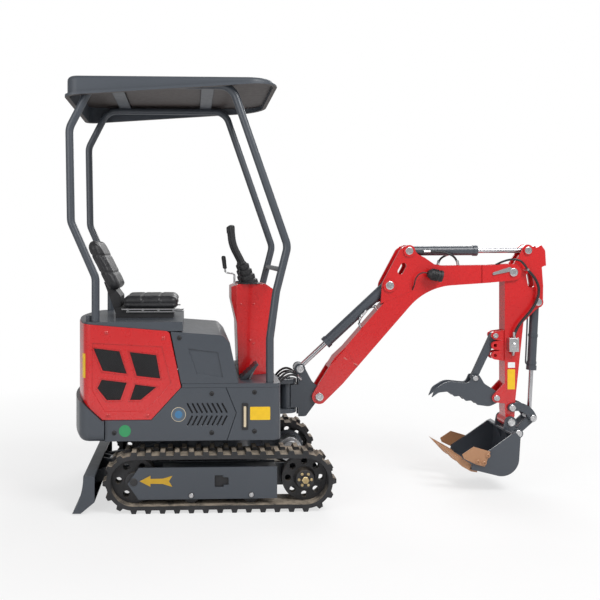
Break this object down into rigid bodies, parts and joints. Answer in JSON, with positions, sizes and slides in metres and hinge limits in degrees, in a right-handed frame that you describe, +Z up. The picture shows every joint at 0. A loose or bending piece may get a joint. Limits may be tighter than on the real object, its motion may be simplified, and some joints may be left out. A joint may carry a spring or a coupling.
{
  "type": "mini excavator",
  "caption": "Small tracked excavator with an open canopy, slewing body, swinging boom, arm, bucket with thumb and dozer blade, in red and dark grey.",
  "frame": {"origin": "on the ground under the middle of the bounding box", "axes": "+X towards the digging end, +Y to the operator's left, +Z up"},
  "size_m": [2.737, 0.938, 2.285],
  "materials": {
    "red_paint": "gloss red paint",
    "dark_paint": "dark grey paint",
    "track_rubber": "black rubber",
    "chrome_rod": "ground chrome",
    "tan_steel": "tan paint",
    "seat_vinyl": "black vinyl",
    "black_plastic": "black plastic",
    "engine_iron": "cast iron",
    "pin_steel": "bare steel"
  },
  "bodies": {
    "undercarriage": {"lower_frame": "dark_paint", "slew_ring": "dark_paint", "track_frame_right": "dark_paint", "track_frame_left": "dark_paint", "track_right": "track_rubber", "track_left": "track_rubber", "sprockets": "dark_paint", "idlers": "dark_paint", "rollers": "dark_paint", "travel_motors": "pin_steel"},
    "upper": {"upper_frame": "dark_paint", "counterweight": "dark_paint", "hood_side_right": "red_paint", "hood_side_left": "red_paint", "hood_rear": "red_paint", "vent_screens": "black_plastic", "side_cover_right": "dark_paint", "side_cover_left": "dark_paint", "front_cover_right": "dark_paint", "front_cover_left": "dark_paint", "floor_plate": "dark_paint", "seat_box": "dark_paint", "seat_platform": "dark_paint", "engine": "engine_iron", "seat_base": "black_plastic", "seat_cushion": "seat_vinyl", "seat_back": "seat_vinyl", "console": "red_paint", "joysticks": "black_plastic", "console_levers": "black_plastic", "foot_pedals": "dark_paint", "canopy_rear_posts": "dark_paint", "canopy_front_posts": "dark_paint", "canopy_rails": "dark_paint", "canopy_roof": "dark_paint"},
    "swing_post": {"swing_post": "dark_paint"},
    "swing_barrel": {"swing_cylinder_barrel": "dark_paint"},
    "swing_rod": {"swing_cylinder_rod": "chrome_rod"},
    "boom": {"boom": "red_paint", "work_lamp": "black_plastic"},
    "boom_barrel": {"boom_cylinder_barrel": "dark_paint"},
    "boom_rod": {"boom_cylinder_rod": "chrome_rod"},
    "arm_barrel": {"arm_cylinder_barrel": "dark_paint"},
    "arm_rod": {"arm_cylinder_rod": "chrome_rod"},
    "arm": {"arm": "red_paint", "arm_hose": "black_plastic", "valve_block": "pin_steel", "thumb": "dark_paint", "thumb_strut": "dark_paint"},
    "bucket_barrel": {"bucket_cylinder_barrel": "dark_paint"},
    "bucket_rod": {"bucket_cylinder_rod": "chrome_rod"},
    "rocker": {"rocker_links": "dark_paint"},
    "bucket_link": {"bucket_link": "dark_paint"},
    "bucket": {"bucket": "dark_paint", "bucket_teeth": "tan_steel", "side_cutters": "tan_steel"},
    "blade": {"blade": "dark_paint"},
    "blade_barrel": {"blade_cylinder_barrel": "dark_paint"},
    "blade_rod": {"blade_cylinder_rod": "chrome_rod"}
  },
  "joints": [
    {"name": "slew", "type": "hinge", "parent": "undercarriage", "child": "upper", "pos_m": [-0.5545, 0, 0.372], "axis": [0, 0, 1], "continuous": true},
    {"name": "boom_swing", "type": "hinge", "parent": "upper", "child": "swing_post", "pos_m": [-0.1495, 0, 0.516], "axis": [0, 0, 1], "range_deg": [-55, 55]},
    {"name": "boom_lift", "type": "hinge", "parent": "swing_post", "child": "boom", "pos_m": [0.0315, 0, 0.526], "axis": [0, -1, 0], "range_deg": [-75, 38]},
    {"name": "arm_crowd", "type": "hinge", "parent": "boom", "child": "arm", "pos_m": [1.1685, 0, 1.241], "axis": [0, 1, 0], "range_deg": [-70, 28]},
    {"name": "bucket_curl", "type": "hinge", "parent": "arm", "child": "bucket", "pos_m": [1.1475, 0, 0.372], "axis": [0, 1, 0], "range_deg": [-86, 22]},
    {"name": "blade_lift", "type": "hinge", "parent": "undercarriage", "child": "blade", "pos_m": [-0.8165, 0, 0.185], "axis": [0, 1, 0], "range_deg": [-15, 18]},
    {"name": "boom_barrel_turn", "type": "hinge", "parent": "boom", "child": "boom_barrel", "pos_m": [0.4425, 0, 1.165], "axis": [0, -1, 0], "range_deg": [-2.37, 3.71]},
    {"name": "boom_rod_slide", "type": "slide", "parent": "boom_barrel", "child": "boom_rod", "axis": [-0.7341, 0, -0.679], "range_m": [-0.11064, 0.21642]},
    {"name": "arm_barrel_turn", "type": "hinge", "parent": "boom", "child": "arm_barrel", "pos_m": [0.5565, 0, 1.365], "axis": [0, 1, 0], "range_deg": [-5.43, 2.77]},
    {"name": "arm_rod_slide", "type": "slide", "parent": "arm_barrel", "child": "arm_rod", "axis": [1, 0, 0.0043], "range_m": [-0.17045, 0.06938]},
    {"name": "bucket_barrel_turn", "type": "hinge", "parent": "arm", "child": "bucket_barrel", "pos_m": [1.3195, 0, 1.066], "axis": [0, 1, 0], "range_deg": [-1.59, 1.15]},
    {"name": "bucket_rod_slide", "type": "slide", "parent": "bucket_barrel", "child": "bucket_rod", "axis": [-0.0518, 0, -0.9987], "range_m": [-0.12993, 0.03473]},
    {"name": "rocker_turn", "type": "hinge", "parent": "arm", "child": "rocker", "pos_m": [1.1615, 0, 0.452], "axis": [0, 1, 0], "range_deg": [-56.08, 15.09]},
    {"name": "bucket_link_turn", "type": "hinge", "parent": "rocker", "child": "bucket_link", "pos_m": [1.2845, 0, 0.391], "axis": [0, 1, 0], "range_deg": [-10.03, 36.3]},
    {"name": "swing_barrel_turn", "type": "hinge", "parent": "upper", "child": "swing_barrel", "pos_m": [-0.6145, 0.19, 0.516], "axis": [0, 0, 1], "range_deg": [-2.79, 2.79]},
    {"name": "swing_rod_slide", "type": "slide", "parent": "swing_barrel", "child": "swing_rod", "axis": [0.9855, -0.1696, 0], "range_m": [-0.08786, 0.08786]},
    {"name": "blade_barrel_turn", "type": "hinge", "parent": "undercarriage", "child": "blade_barrel", "pos_m": [-0.7805, 0, 0.262], "axis": [0, 1, 0], "range_deg": [-13.91, 16.5]},
    {"name": "blade_rod_slide", "type": "slide", "parent": "blade_barrel", "child": "blade_rod", "axis": [-0.9588, 0, -0.2841], "range_m": [-0.02224, 0.01887]}
  ],
  "couplings": [
    {"joint": "boom_barrel_turn", "follows": "boom_lift", "ratio": -0.036152},
    {"joint": "boom_rod_slide", "follows": "boom_lift", "m_per_rad": -0.16381},
    {"joint": "arm_barrel_turn", "follows": "arm_crowd", "ratio": 0.063344},
    {"joint": "arm_rod_slide", "follows": "arm_crowd", "m_per_rad": 0.13788},
    {"joint": "bucket_barrel_turn", "follows": "bucket_curl", "ratio": 0.006848},
    {"joint": "bucket_rod_slide", "follows": "bucket_curl", "m_per_rad": 0.085231},
    {"joint": "rocker_turn", "follows": "bucket_curl", "ratio": 0.64047},
    {"joint": "bucket_link_turn", "follows": "bucket_curl", "ratio": -0.4105},
    {"joint": "swing_barrel_turn", "follows": "boom_swing", "ratio": -0.032634},
    {"joint": "swing_rod_slide", "follows": "boom_swing", "m_per_rad": -0.089442},
    {"joint": "blade_barrel_turn", "follows": "blade_lift", "ratio": 0.86083},
    {"joint": "blade_rod_slide", "follows": "blade_lift", "m_per_rad": -0.064436}
  ]
}
